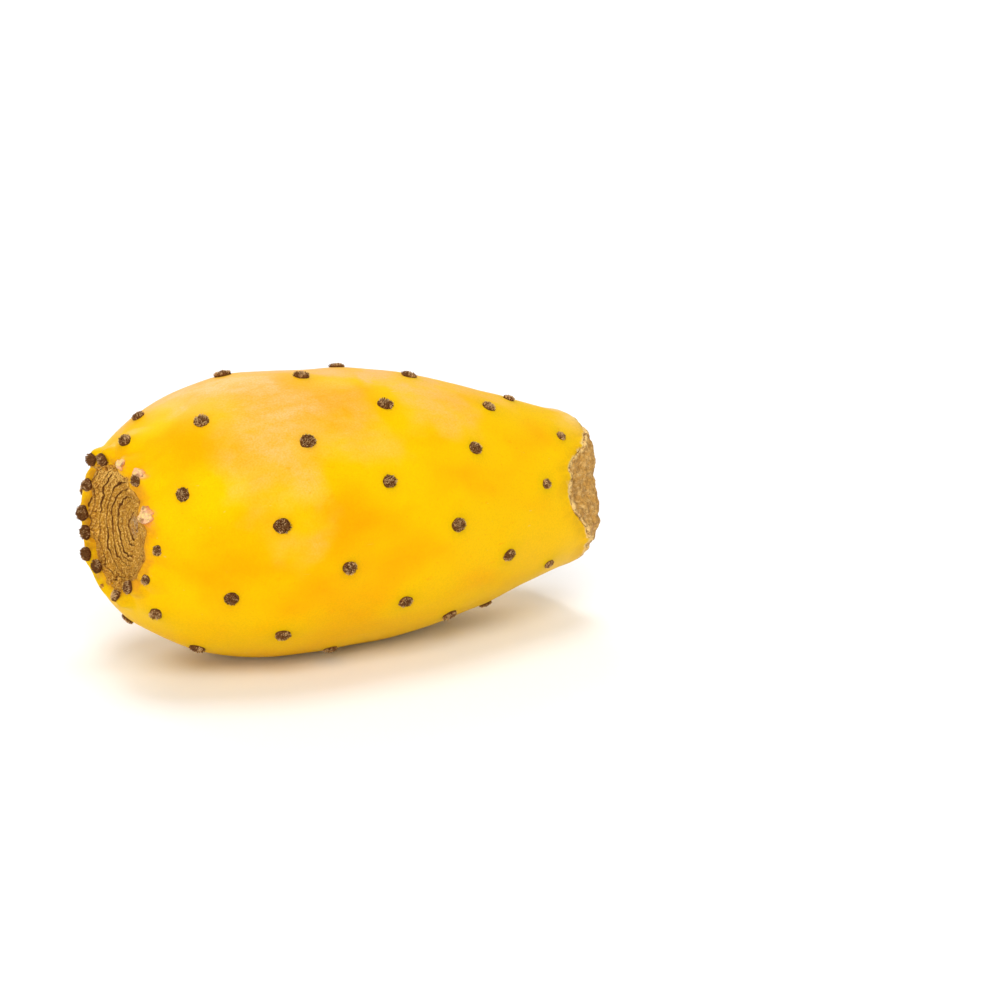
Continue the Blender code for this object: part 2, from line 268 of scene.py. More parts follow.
def closed_rings(name, points, inner_pole=None, pole_first=False, **attributes):
    """A mesh from points[ring, around]. Each end ring is drawn together to its middle. An
    inner pole is one more ring, all at that height of the axis inside the fruit, and
    every attribute is 0 there."""

    def flat(values, at_pole=0.0):
        if inner_pole is not None:
            pole = np.zeros_like(values[:1]) + at_pole
            values = np.concatenate([pole, values] if pole_first else [values, pole])
        inner = values[1:-1].reshape(-1, values.shape[-1])
        return np.vstack([values[0].mean(0), inner, values[-1].mean(0)])

    rings = len(points) + (inner_pole is not None)
    faces = ring_faces(rings, points.shape[1])
    mesh = mesh_from(name, lay_down(flat(points, [0, 0, inner_pole])), faces)
    for attribute_name, values in attributes.items():
        store(mesh, attribute_name, flat(values[..., None])[:, 0])
    return link(name, mesh)


# %% [markdown]
# ## Where the areoles are
# An areole is the small felted cushion that the fruit's bristles grow from. A cactus sets
# them one after another, each turned by the golden angle from the last, crowded at the
# rim and evenly spaced down the skin. The list of strays moves those that grew a little
# off the rule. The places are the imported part's own.

# %% The areoles' places
AREOLES = 67
GOLDEN_ANGLE = math.pi * (3 - math.sqrt(5))
FIRST_AREOLE_ANGLE = math.radians(-119)
FIRST_AREOLE_ALONG = -0.6
AREOLE_STEP = 1.65
CROWDED_AREOLES = 12.2
CROWDING_FADE = 1.5
AREOLE_LEAN = 1.4
AREOLE_CLEAR_OF_STEM_SCAR = 4
# For an areole's number, how far it strayed along the skin and round it, in millimetres
STRAYS = {
    0: (-0.5, 2.0), 1: (0.5, 1.0), 2: (0.0, -6.0), 3: (0.0, 2.0), 4: (0.5, -0.5),
    5: (-1.5, 0.5), 6: (0.5, 1.5), 7: (1.0, -2.5), 8: (0.0, 2.0), 9: (0.5, 1.0),
    10: (-0.5, -4.5), 11: (0.5, 4.0), 12: (0.5, 0.0), 13: (-2.5, 0.5), 15: (0.0, -1.5),
    17: (-1.0, 0.5), 19: (-1.5, 5.0), 20: (2.0, 0.5), 22: (-1.5, -0.5), 23: (-2.0, -2.5),
    25: (1.0, 0.5), 27: (2.0, -2.0), 30: (0.0, 0.5), 35: (-1.0, -2.5), 40: (3.0, 3.0),
    43: (-3.5, -1.0), 48: (-0.5, 2.0), 51: (-2.0, 0.0), 56: (-1.5, 2.0), 59: (0.5, -0.5),
    61: (-0.5, 6.5),
}


def areole_places():
    """(along, angle): the angle is count * golden angle. The distance is step * fade *
    ln(1 + e^x), where x is the count past the crowded ones over the fade, plus a lean
    that follows the sine of the angle."""
    count = np.arange(AREOLES)
    angle = FIRST_AREOLE_ANGLE + GOLDEN_ANGLE * count
    along = np.logaddexp(0, (count - CROWDED_AREOLES) / CROWDING_FADE)
    along = FIRST_AREOLE_ALONG + along * AREOLE_STEP * CROWDING_FADE
    along = along + AREOLE_LEAN * np.sin(angle)
    for number, (further, round_skin) in STRAYS.items():
        along[number] += further
        angle[number] += round_skin / ring_at(along[number])[0]
    return np.minimum(along, STEM_LIP - AREOLE_CLEAR_OF_STEM_SCAR), angle


AREOLE_ALONG, AREOLE_ANGLE = areole_places()
AREOLE_ON_BODY = body_point(AREOLE_ALONG, AREOLE_ANGLE)
print(f"{AREOLES} areoles, from {AREOLE_ALONG.min():.1f} to {AREOLE_ALONG.max():.1f} mm")

# %% [markdown]
# ## The swellings
# Each areole sits on a swelling of the skin. Round the rim they stand out like knuckles
# and scallop the outline, and on the belly they are hardly there. A swelling is a bell
# curve of the distance from its areole. Where two meet, the higher one counts. Between
# the knuckles the rim dips below the turned outline, which makes them stand out more.

# %% The swellings' height
SWELLING_AT_RIM = 1.15
SWELLING_ON_BELLY = 0.28
SWELLING_FADE = 7
SWELLING_WIDTH_AT_RIM = 2.1
SWELLING_WIDTH_ON_BELLY = 4.2
RIM_DIP = 0.6
RIM_DIP_WIDTH = 4.5


def areole_distances(points):
    """The distance of every point from every areole."""
    flat = points.reshape(-1, 3)
    between = flat[:, None] - AREOLE_ON_BODY[None]
    return np.sqrt((between**2).sum(-1)).reshape(*points.shape[:-1], AREOLES)


def rim_dip(along):
    """dip * e^(-(distance from the rim's crest / width)^2)."""
    return RIM_DIP * bell(along, RIM_DIP_WIDTH)


def swelling_height(distances, along):
    """The highest of (height + dip there) * e^(-(distance / width)^2) over all the
    areoles, less the dip here."""
    fade = np.exp(-AREOLE_ALONG / SWELLING_FADE)
    height = SWELLING_ON_BELLY + (SWELLING_AT_RIM - SWELLING_ON_BELLY) * fade
    spread = SWELLING_WIDTH_AT_RIM - SWELLING_WIDTH_ON_BELLY
    width = SWELLING_WIDTH_ON_BELLY + spread * fade
    bells = (height + rim_dip(AREOLE_ALONG)) * bell(distances, width)
    return bells.max(-1) - rim_dip(along)


print(f"a knuckle stands {SWELLING_AT_RIM:.2f} mm above the rim, which dips {RIM_DIP:.1f} mm")


# %% [markdown]
# ## The skin
# The skin is one closed grid that runs on under both scars, so that nothing shows through
# at their torn edges. Its rings are closer together at the rim, where the knuckles are.
# Slow noise keeps the belly from looking turned on a lathe. Under the scars it is tucked
# in by about a millimetre, so that the cork and the torn flesh lie on top. Where the cork
# ends is one ragged line, and both surfaces ask the same function for it.

# %% The ragged edges of the two scars
CORK_EDGE_ANGLES = [-145, -115, -85, -55, -25, 0, 20, 42, 65, 92, 115, 137, 157, 180]
CORK_EDGE_ALONG = [-2.6, -2.7, -2.2, -1.4, -1.3, -1.8, -1.3]
CORK_EDGE_ALONG += [0.0, 0.4, 0.9, 0.5, -0.8, -1.6, -2.1]
NOISE_CIRCLE = 12
CORK_EDGE_WANDER = 0.45
TORN_EDGE = STEM_LIP - 0.5
TORN_EDGE_WANDER = 1.0
TORN_JAGS = 0.9
SCAR_RADIUS = FLOWER_SCAR_KNOTS[-1][1]
OVAL_SHIFT = np.array([0.8, -3.4, 0.0])
OVAL_STRETCH = np.array([0.25, -0.15, 0.0])


def on_circle(angle, size):
    """A point of a circle of that size, so that noise read there closes on itself."""
    return np.stack([np.cos(angle) * size, np.sin(angle) * size, np.zeros_like(angle)], -1)


def from_angle(angle, middle):
    """The turn from an angle of the fruit, the short way round."""
    return np.angle(np.exp(1j * (angle - middle)))


def cork_edge(angle):
    """Distance along the skin where the flower scar's cork ends, read round the circle
    from a few knots, plus noise. The cork runs over the rim on one side only."""
    edge = np.interp(np.degrees(angle), CORK_EDGE_ANGLES, CORK_EDGE_ALONG, period=360)
    wander = layered_noise(on_circle(angle, NOISE_CIRCLE), 2.4, 4)
    return edge + CORK_EDGE_WANDER * wander


def to_ovals(points, along):
    """Rings of the flower scar become ovals off its middle: (1 + stretch * inward) *
    point + shift * inward^2, where inward is 1 in the middle and 0 at the scar's edge."""
    inward = np.clip(1 - ring_at(along)[0] / SCAR_RADIUS, 0, 1) * (along < 0)
    inward = inward[..., None]
    return points * (1 + OVAL_STRETCH * inward) + OVAL_SHIFT * inward**2


print(f"the cork ends {min(CORK_EDGE_ALONG)} to {max(CORK_EDGE_ALONG)} mm past the crest")

# %% The torn flap at the stem end
TEAR_ANGLE = math.radians(75)
TEAR_SPREAD = math.radians(30)
TEAR_SLANT = math.radians(25)
TEAR_LENGTH = 9.5
TEAR_STEP = 0.5
TEAR_STEP_WIDTH = 1.0
TEAR_SLOPE = 0.15
TEAR_FADE = 5.0


def tear_length(angle):
    """How far the flap tore the skin back: length * e^(-(turn / spread)^2)."""
    return TEAR_LENGTH * bell(from_angle(angle, TEAR_ANGLE), TEAR_SPREAD)


def torn_edge(angle):
    """Distance along the skin where it is torn at the stem end: the stem lip, less the
    flap's length, plus noise and jags. A jag is a steep step of another noise."""
    circle = on_circle(angle, NOISE_CIRCLE)
    wander = TORN_EDGE_WANDER * layered_noise(circle, 3.2, 4)
    jags = smooth_step(layered_noise(circle + 30, 1.5, 2), -0.2, 0.2)
    return TORN_EDGE - tear_length(angle) + wander - TORN_JAGS * jags


def torn_flesh(along, angle):
    """How the flesh of the torn flap is lowered: (step + slope * distance past the torn
    line) inwards and, by the slant, away from the stem, fading out in the stem scar."""
    length = tear_length(angle)
    past = np.clip(along - STEM_LIP + length, 0, None)
    step = TEAR_STEP * smooth_step(past, 0, TEAR_STEP_WIDTH)
    into_scar = np.clip((along - STEM_LIP) / TEAR_FADE, 0, 1)
    depth = (step + TEAR_SLOPE * np.minimum(past, length)) * length / TEAR_LENGTH
    inward, upward = -math.cos(TEAR_SLANT), np.full_like(angle, math.sin(TEAR_SLANT))
    way = np.stack([inward * np.cos(angle), -inward * np.sin(angle), upward], -1)
    return way * (depth * (1 - into_scar))[..., None]


print(f"the flap tore the skin back by {TEAR_LENGTH} mm, and its flesh lies {TEAR_STEP} mm low")

# %% The skin's surface
SKIN_STEPS = 330
TUCK_UNDER_CORK = 0.9
TUCK_UNDER_FLESH = 1.3
WAVINESS = 0.12
SKIN_RINGS = ((SCAR_MIDDLE, -4.5, 6), (-4.5, 12.0, 76), (12.0, 82.0, 140))
SKIN_RINGS += ((82.0, STEM_LIP + 1.5, 54), (STEM_LIP + 1.5, STEM_MIDDLE, 8))


def skin_surface(along, angle):
    """The turned body, raised by swelling + waviness * slow noise, less the tuck."""
    body = body_point(along, angle)
    distances = areole_distances(body)
    under_cork = smooth_step(cork_edge(angle) - along, 0.1, 0.9)
    under_tear = smooth_step(along - torn_edge(angle), 0.0, 0.7)
    rise = swelling_height(distances, along) + WAVINESS * layered_noise(body, 14.0)
    rise = rise - TUCK_UNDER_CORK * under_cork - TUCK_UNDER_FLESH * under_tear
    raised = body + body_normal(along, angle) * rise[..., None]
    return to_ovals(raised, along) + torn_flesh(along, angle), distances


skin_along = np.concatenate(
    [np.linspace(low, high, rings, endpoint=False) for low, high, rings in SKIN_RINGS]
    + [[STEM_MIDDLE]]
)
ALONG, ANGLE = ring_grid(skin_along, SKIN_STEPS)
skin_points, skin_distances = skin_surface(ALONG, ANGLE)
print(f"the skin's grid has {len(skin_along)} rings of {SKIN_STEPS} points")

# %% [markdown]
# ## What colours the skin
# The skin is butter yellow beside the areoles, orange between them and in one spot on its
# upper side, and peachy where the sun bleached it, a peach that stands for a painted sheen
# too. Painted shade darkens its underside. Round the foot of each areole it is green and by
# the torn stem end olive, both with painted shade in them too. Rust from the cork stains it
# on one side of the flower scar, and it ends in cream where it is torn. Those regions are
# too large and too regular for a noise texture, so they are worked out here and stored as
# numbers on the mesh. The material then mixes its colours by them and adds the fine
# mottling.

# %% Numbers for the skin's material: bleached patches, which carry a painted sheen too
# For each patch, its distance along the skin, its angle in degrees, its half length in
# millimetres, its half width in degrees and its strength. The last one is a patch of
# stronger colour instead.
PATCHES = [(36, -20, 30, 28, 1.0), (24, 38, 11, 46, 0.5), (34, 45, 14, 16, 0.3)]
PATCHES += [(37, 20, 12, 20, 0.3), (58, 20, 10, 28, 0.5), (68, 2, 17, 22, 0.45)]
PATCHES += [(30, -100, 15, 24, 0.4), (64, -120, 12, 22, 0.4), (48, 22, 4, 22, -0.2)]
PATCH_WARP = 0.6


def bleaching(along, angle):
    """How bleached the skin is, with a painted sheen in the same patches: patches with rounded
    corners on the unrolled skin. With u and v the shares of the half length and half width,
    a patch fades round the line where (|u|^3 + |v|^3)^(1/3) = 0.8. Noise bends that number,
    so the edges are ragged."""
    body = body_point(along, angle)
    bend = PATCH_WARP * (0.5 * noise(body, 16.0, 3.3) + 0.5 * layered_noise(body, 5.0, 4))
    total = np.zeros_like(along)
    for middle, turn, length, width, strength in PATCHES:
        u = (along - middle) / length
        v = from_angle(angle, math.radians(turn)) / math.radians(width)
        reach = np.cbrt(np.abs(u) ** 3 + np.abs(v) ** 3) + bend
        total = total + strength * (1 - smooth_step(reach, 0.45, 1.2))
    return np.clip(total, 0, 1)


print(f"{len(PATCHES)} patches of bleached skin")

# %% Numbers for the skin's material: yellow, orange, green, and painted sheen and shade
YELLOW_REACH = 6.0
YELLOW_SHIFT = 3.2
HALO_REACH = 2.4
UNBLEACHED_REACH = 3.4
# Distance along the skin, angle, half length, half width and strength
ORANGE_SPOT = (34, math.radians(22), 9, math.radians(15), 0.45)


def nearest_areole(along, angle):
    """Distance from the nearest areole, for the place moved a little to the flower end."""
    shifted = body_point(along - YELLOW_SHIFT, angle)
    return areole_distances(shifted).min(-1)


yellow = 0.5 * bell(nearest_areole(ALONG, ANGLE), YELLOW_REACH)
yellow = 0.1 + yellow + 0.4 * smooth_step(ALONG, 20, 75)
spot_along, spot_angle, spot_length, spot_width, spot_strength = ORANGE_SPOT
spot_run = (ALONG - spot_along) / spot_length
spot_turn = from_angle(ANGLE, spot_angle) / spot_width
yellow = yellow - spot_strength * bell(np.hypot(spot_run, spot_turn), 1)
# Round each areole's foot: a green tint, together with a painted shade.
green = bell(skin_distances.min(-1), HALO_REACH)
unbleached = bell(skin_distances.min(-1), UNBLEACHED_REACH)
# The bleached patches also carry a painted sheen: the peach stands in for a soft highlight.
bleached = bleaching(ALONG, ANGLE) * (1 - 0.7 * unbleached)
# Painted shade: the underside is painted darker.
underside = smooth_step(-np.cos(ANGLE), 0.25, 0.95)
print(f"from orange at {yellow.min():.2f} to yellow at {yellow.max():.2f}")

# %% Numbers for the skin's material: stained and torn skin
FRAYED_LIP = (math.radians(6), math.radians(20))
TORN_AREOLES = [4, 1]
TORN_BESIDE = (1.8, math.radians(39))
LUMP_SIZE = np.array([1.35, 0.95, 1.15])
from_cork = ALONG - cork_edge(ANGLE) + 0.8 * layered_noise(skin_points, 1.4)
stained = (1 - smooth_step(from_cork, 0.2, 1.8)) * smooth_step(-ANGLE % (2 * math.pi), 0, 0.5)
past_tear_line = ALONG - torn_edge(ANGLE)
# Near the torn stem end the skin is olive, and darker by a painted shade.
stem_near = smooth_step(past_tear_line, -4.5, -0.2)
cream_width = 0.35 + 0.9 * np.clip(layered_noise(skin_points, 1.3), 0, 1)
torn = smooth_step(past_tear_line / cream_width, -1.0, -0.1)
torn = torn * smooth_step(layered_noise(skin_points + 20, 2.2), -0.25, 0.15)
frayed = bell(from_angle(ANGLE, FRAYED_LIP[0]), FRAYED_LIP[1])
frayed = frayed * smooth_step(ALONG + 2.5 * layered_noise(skin_points, 2.5), 86, 94)
torn = np.maximum(torn, 0.8 * frayed)
LUMP_ALONG = np.append(AREOLE_ALONG[TORN_AREOLES], TORN_BESIDE[0])
LUMP_ANGLE = np.append(AREOLE_ANGLE[TORN_AREOLES], TORN_BESIDE[1])
red_ring = np.zeros_like(ALONG)
flaked = np.zeros_like(ALONG)
for centre, size in zip(body_point(LUMP_ALONG, LUMP_ANGLE), LUMP_SIZE):
    distance = np.linalg.norm(skin_points - centre, axis=-1) / size
    distance = distance * (1 + 0.35 * noise(skin_points, 0.9, 4.0))
    red_ring = np.maximum(red_ring, bell(distance - 1.0, 0.22))
    flaked = np.maximum(flaked, 1 - smooth_step(distance, 0.75, 1.0))
torn = np.maximum(torn, flaked)
print(f"the skin is torn at {np.count_nonzero(torn > 0.5)} of its points")

# %% The skin
skin = closed_rings(
    "skin",
    skin_points,
    yellow=yellow,
    green=green,
    bleached=bleached,
    underside=underside,
    stem_near=stem_near,
    torn=torn,
    red_ring=red_ring,
    stained=stained,
)
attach(skin, "root")
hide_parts("fruit")

# %% [markdown]
# ## The flower scar
# Where the flower dropped off, the fruit closed the wound with cork. As the fruit grew,
# the cork cracked into rings, each sheet lifted a little over the next one inwards, like
# the bark of a tree. A ring's sheet is a sawtooth of the radius: it rises towards its
# inner edge and drops there into a dark crack. Noise bends the radius first, so that the
# rings wander and run into each other.

# %% The cork's sheets
# Each ring of the cork: its radius, how deep its crack is, the angle where it is deepest,
# and the share of the depth that it has opposite that angle.
RINGS = [(-1.0, 0.00, 0, 1.0), (0.9, 0.30, 60, 0.5), (2.0, 0.65, -90, 0.9)]
RINGS += [(2.8, 0.55, 130, 0.6), (3.6, 0.50, -40, 0.6), (4.4, 1.00, -140, 0.8)]
RINGS += [(5.1, 0.60, 130, 0.4), (5.8, 0.70, -60, 0.8), (6.4, 0.40, -150, 0.5)]
RINGS += [(7.0, 0.90, -70, 0.6), (7.7, 0.60, 40, 0.4), (8.4, 0.95, -120, 0.5)]
RINGS += [(9.0, 0.45, -30, 0.6), (9.6, 0.60, -100, 0.4), (10.2, 0.70, -140, 0.6)]
RINGS += [(10.9, 0.50, 0, 0.7), (11.8, 0.40, 90, 0.7), (14.5, 0.00, 0, 1.0)]
SHEET_LIFT = 0.42
CRACK_WIDTH = 0.075


def sheets(radius, angle, flat_points):
    """(height, crack) of the cork sheets.

    The radius, bent by noise, lies between two rings. Its rest is 0 at the inner one and
    1 at the outer one. The height is lift * (1 - rest)^1.4, a sheet that is highest at
    its inner edge, and the crack is a narrow bell curve at the drop. A ring's strength
    follows a cosine of the angle and comes and goes with noise.
    """
    bend = 0.36 * noise(flat_points, 5.0) + 0.26 * noise(flat_points, 1.9, 3.1)
    bend = bend + 0.20 * noise(flat_points, 0.8, 9.7) + 0.07 * noise(flat_points, 0.4, 6.1)
    bent = np.clip(radius + bend * smooth_step(radius, 0.2, 2.5), 0, 14)
    ring_radii, strengths, deepest, opposite = np.array(RINGS).T
    number = np.searchsorted(ring_radii, bent, side="right") - 1
    inner, outer = ring_radii[number], ring_radii[number + 1]
    rest = (bent - inner) / (outer - inner)

    def strength_of(ring):
        turned = 0.5 + 0.5 * np.cos(angle - np.radians(deepest[ring]))
        strength = strengths[ring] * (opposite[ring] + (1 - opposite[ring]) * turned)
        wander = noise(flat_points + 7.0 * ring[..., None], 2.4)
        return np.clip(strength * (1.0 + 0.7 * wander), 0.0, 1.0)

    own, next_ = strength_of(number), strength_of(number + 1)
    height = SHEET_LIFT * (own * (1 - rest) ** 1.4 + 0.25 * next_ * rest)
    crack_in = own * bell(bent - inner, CRACK_WIDTH * (0.6 + own))
    crack_out = next_ * bell(outer - bent, CRACK_WIDTH * (0.6 + next_))
    return height, np.maximum(crack_in, crack_out)


print(f"{len(RINGS)} rings, whose sheets are up to {SHEET_LIFT} mm high")

# %% Cracks across the cork's sheets
RADIAL_CRACKS = 14
CROSS_CRACK_WIDTH = 0.065
# The angle in degrees, the radius where the crack starts, and its length
CROSS_CRACKS = [(-88, 7.9, 3.4), (-172, 8.6, 3.0), (165, 8.4, 1.6), (-60, 6.6, 1.0)]


def radial_cracks(radius, angle, flat_points):
    """Short cracks across the sheets: bell curves of the distance from a wandering ray.
    A few have their places, as (angle, inner end, length), and the others are drawn."""
    draws = np.random.default_rng(21)
    drawn = draws.uniform([-180, 5.5, 0.8], [180, 10.0, 2.2], (RADIAL_CRACKS, 3))
    crack = np.zeros_like(radius)
    wander = 0.8 * layered_noise(flat_points, 1.8, 4)
    for degrees, start, length in [*CROSS_CRACKS, *drawn]:
        turn = angle - math.radians(degrees)
        aside = radius * np.sin(turn) + wander
        span = smooth_step(radius, start, start + 0.6) * (np.cos(turn) > 0)
        span = span * (1 - smooth_step(radius, start + length, start + length + 0.6))
        crack = np.maximum(crack, span * bell(aside, CROSS_CRACK_WIDTH))
    return crack * np.clip(0.7 + 0.8 * noise(flat_points, 0.9, 2.2), 0, 1)


def cell_cracks(flat_points):
    """A net of fine cracks: bell curves round the zero lines of two noises."""
    first = layered_noise(flat_points, 1.9, 3)
    second = layered_noise(flat_points + 40, 1.3, 3)
    return np.maximum(bell(first, 0.07), bell(second, 0.06))


print(f"{len(CROSS_CRACKS)} cracks that have their places, and {RADIAL_CRACKS} drawn ones")

# %% The cork's surface
CRACK_DEPTH = 0.40
CORK_OVER_SKIN = 0.05
CORK_SINK = 1.0


def crumbled(radius, angle):
    """Where the cork is crumbly instead of layered: its middle, and its outer zone at the
    top and most of all at the bottom."""
    low = smooth_step(-np.cos(angle + 0.5), 0.30, 0.85) * smooth_step(radius, 6.0, 8.2)
    high = smooth_step(np.cos(angle), 0.6, 0.95) * smooth_step(radius, 9.0, 10.5)
    middle = 1 - smooth_step(radius, 1.2, 2.0)
    return np.clip(low + 0.7 * high + 0.9 * middle, 0, 1)


def cork_surface(along, angle):
    """The turned body plus sheets, crumbs and swellings, less cracks. The rings are then
    stretched to ovals and moved off the middle, and past the ragged edge the surface
    dives under the skin."""
    body = body_point(along, angle)
    radius = ring_at(along)[0]
    flat = np.stack([body[..., 0], body[..., 1], np.zeros_like(radius)], -1)
    lift, ring_crack = sheets(radius, angle, flat)
    crumbly = crumbled(radius, angle)
    rim = smooth_step(radius, 10.2, 11.2)
    lift = lift * (1 - 0.7 * np.maximum(crumbly, rim))
    crack = np.maximum(ring_crack * (1 - 0.5 * crumbly), radial_cracks(radius, angle, flat))
    crack = np.maximum(crack, cell_cracks(flat) * np.maximum(crumbly, 0.35 * rim))
    inside = smooth_step(cork_edge(angle) - along, -0.1, 0.35)
    crumbs = (0.09 + 0.10 * crumbly) * layered_noise(flat, 1.0, 5)
    pits = 0.05 * smooth_step(noise(flat, 0.22, 8.8), 0.35, 0.8)
    rise = swelling_height(areole_distances(body), along) + CORK_OVER_SKIN
    rise = rise + lift + crumbs - pits - CRACK_DEPTH * crack
    rise = rise * inside - CORK_SINK * (1 - inside)
    points = to_ovals(body + body_normal(along, angle) * rise[..., None], along)
    return points, crack, lift


# %% The cork, closed underneath
CORK_RINGS = 235
CORK_STEPS = 400
CORK_DEPTH = 8.0
SHARE, CORK_ANGLE = ring_grid(np.linspace(0, 1, CORK_RINGS), CORK_STEPS)
CORK_ALONG = SCAR_MIDDLE + SHARE * (cork_edge(CORK_ANGLE) + 0.3 - SCAR_MIDDLE)
cork_points, cork_crack, cork_lift = cork_surface(CORK_ALONG, CORK_ANGLE)
cork = closed_rings(
    "flower_scar",
    cork_points,
    inner_pole=FRUIT_LENGTH - CORK_DEPTH,
    crack=cork_crack,
    lift=cork_lift / SHEET_LIFT,
    margin=smooth_step(CORK_ALONG - cork_edge(CORK_ANGLE), -1.2, -0.1),
    middle=1 - smooth_step(ring_at(CORK_ALONG)[0], 0.9, 2.2),
    # high marks the cork's top, which the material paints paler: a painted highlight.
    high=smooth_step(np.cos(CORK_ANGLE), 0.5, 0.95) * smooth_step(CORK_ALONG, -7.0, -3.5),
)
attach(cork, "root")

# %% [markdown]
# ## The stem scar
# The fruit was twisted off its pad, and the skin tore in a ragged pale lip round a
# shallow scar of dried flesh. It is a second closed plate, made as the cork was: the body,
# plus a lip that follows the same ragged line as the skin's end, plus crumpled noise.

# %% The stem scar's surface
LIP_HEIGHT = 0.40
LIP_WIDTH = 0.7
LIP_SINK = 0.8


def stem_scar_surface(along, angle):
    """The turned body, lowered where the flap tore off, plus lip * e^(-(distance past the
    torn edge / width)^2), plus radial creases and crumpling. Before the torn edge it dives
    under the skin."""
    body = body_point(along, angle)
    past = along - torn_edge(angle)
    lip = LIP_HEIGHT * bell(past - 0.5, LIP_WIDTH)
    lip = lip * (0.6 + 0.8 * noise(body, 1.6, 2.0))
    fibres = on_circle(angle, 16)
    crease = 0.30 * layered_noise(fibres + along[..., None] * 0.10, 1.5, 4)
    crumple = 0.42 * layered_noise(body, 1.8, 5)
    within = smooth_step(past, -0.15, 0.3)
    rough = (crease + crumple) * smooth_step(past, 0.0, 1.2)
    over_lip = smooth_step(along, STEM_LIP - 1.5, STEM_LIP + 0.5)
    rough = np.maximum(rough * (1 - 0.5 * over_lip), -0.5)
    rise = (lip + rough - 0.15) * within - LIP_SINK * (1 - within)
    points = body + body_normal(along, angle) * rise[..., None] + torn_flesh(along, angle)
    return points, past


# %% The stem scar, closed underneath
STEM_RINGS = 120
STEM_STEPS = 320
STEM_PLATE_START = 2.2
STEM_PLATE_DEPTH = 14.0
SHARE, STEM_ANGLE = ring_grid(np.linspace(0, 1, STEM_RINGS), STEM_STEPS)
plate_start = torn_edge(STEM_ANGLE) - STEM_PLATE_START
STEM_ALONG = plate_start + SHARE * (STEM_MIDDLE - plate_start)
stem_points, past_tear = stem_scar_surface(STEM_ALONG, STEM_ANGLE)
stem_scar = closed_rings(
    "stem_scar",
    stem_points,
    inner_pole=STEM_PLATE_DEPTH,
    pole_first=True,
    past_tear=past_tear,
    in_scar=smooth_step(STEM_ALONG, STEM_LIP, STEM_LIP + 2.0),
)
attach(stem_scar, "root")

# %% [markdown]
# ## Areole cushions
# Under its bristles an areole is a dome of dark felt. It is an oval, wider along the
# fruit on the belly and wider round it at the rim. All domes are one mesh, worked out
# together: an array of areoles by rings by steps. Two areoles by the rim lost their felt,
# and a third spot beside them flaked too. Torn pale lumps are left there.

# %% The frame of each areole
AREOLE_RADIUS_AT_RIM = 1.30
AREOLE_RADIUS_ON_BELLY = 1.42
AREOLE_RADIUS_AT_STEM = 0.80
ROUND_SHARES = (1.08, 0.90)
ALONG_SHARES = (0.84, 1.06)
OVALS_TURN = 20.0
AREOLE_SIZES = (0.88, 1.04)
SMALL_AREOLES = {7: 0.75, 9: 0.75, 12: 0.75, 17: 0.9, 20: 0.95}


def frames_at(along, angle, size):
    """For each spot: its place on the swollen skin, the normal, the way round the fruit,
    the way across it, and the spot's size."""
    on_body = body_point(along, angle)
    normal = body_normal(along, angle)
    way_round = np.stack([-np.sin(angle), -np.cos(angle), np.zeros_like(angle)], -1)
    top = on_body + normal * swelling_height(areole_distances(on_body), along)[:, None]
    return top, normal, way_round, np.cross(normal, way_round), size


def on_spot(frames, share, turn, lift):
    """Points over spots: place + (round * cos + across * sin) * size * share + normal *
    lift. The arrays have the shape spot by point. Ovals are wider round the fruit at the
    rim and wider along it on the belly."""
    top, normal, way_round, across, size = frames
    from_rim = np.clip((FRUIT_LENGTH - top[:, 2:]) / OVALS_TURN, 0, 1)
    wide = ROUND_SHARES[0] + (ROUND_SHARES[1] - ROUND_SHARES[0]) * from_rim
    long = ALONG_SHARES[0] + (ALONG_SHARES[1] - ALONG_SHARES[0]) * from_rim
    side = way_round[:, None] * (np.cos(turn) * wide)[..., None]
    side = side + across[:, None] * (np.sin(turn) * long)[..., None]
    side = side * (size[:, None] * share)[..., None]
    return top[:, None] + side + normal[:, None] * lift[..., None]


radii = [AREOLE_RADIUS_AT_RIM, *[AREOLE_RADIUS_ON_BELLY] * 2, AREOLE_RADIUS_AT_STEM]
areole_size = np.interp(AREOLE_ALONG, STEM_LIP * np.array([0, 0.25, 0.65, 1]), radii)
areole_size = areole_size * np.random.default_rng(12).uniform(*AREOLE_SIZES, AREOLES)
areole_size[list(SMALL_AREOLES)] *= list(SMALL_AREOLES.values())
FELTED = np.setdiff1d(np.arange(AREOLES), TORN_AREOLES)
FELT_FRAMES = frames_at(AREOLE_ALONG[FELTED], AREOLE_ANGLE[FELTED], areole_size[FELTED])
LUMP_FRAMES = frames_at(LUMP_ALONG, LUMP_ANGLE, LUMP_SIZE)
print(f"areoles have radii from {areole_size.min():.2f} to {areole_size.max():.2f} mm")

# %% Domes for any list of spots
FELT_HEIGHT = 0.50
FELT_ROOT = 0.6
FELT_EDGE_SINK = 0.25
# Rings, steps, roughness and raggedness of a dome of each kind
FELT_DOME = (9, 20, 0.10, 0.14)
LUMP_DOME = (26, 56, 0.26, 0.40)
CRUMB_DOME = (5, 9, 0.12, 0.35)


def dome_height(share, size):
    """height * (1 - share^2.4)^0.7, less on a smaller spot."""
    full = FELT_HEIGHT * (0.5 + 0.5 * size / AREOLE_RADIUS_ON_BELLY)
    return full * np.maximum(1 - share**2.4, 0) ** 0.7


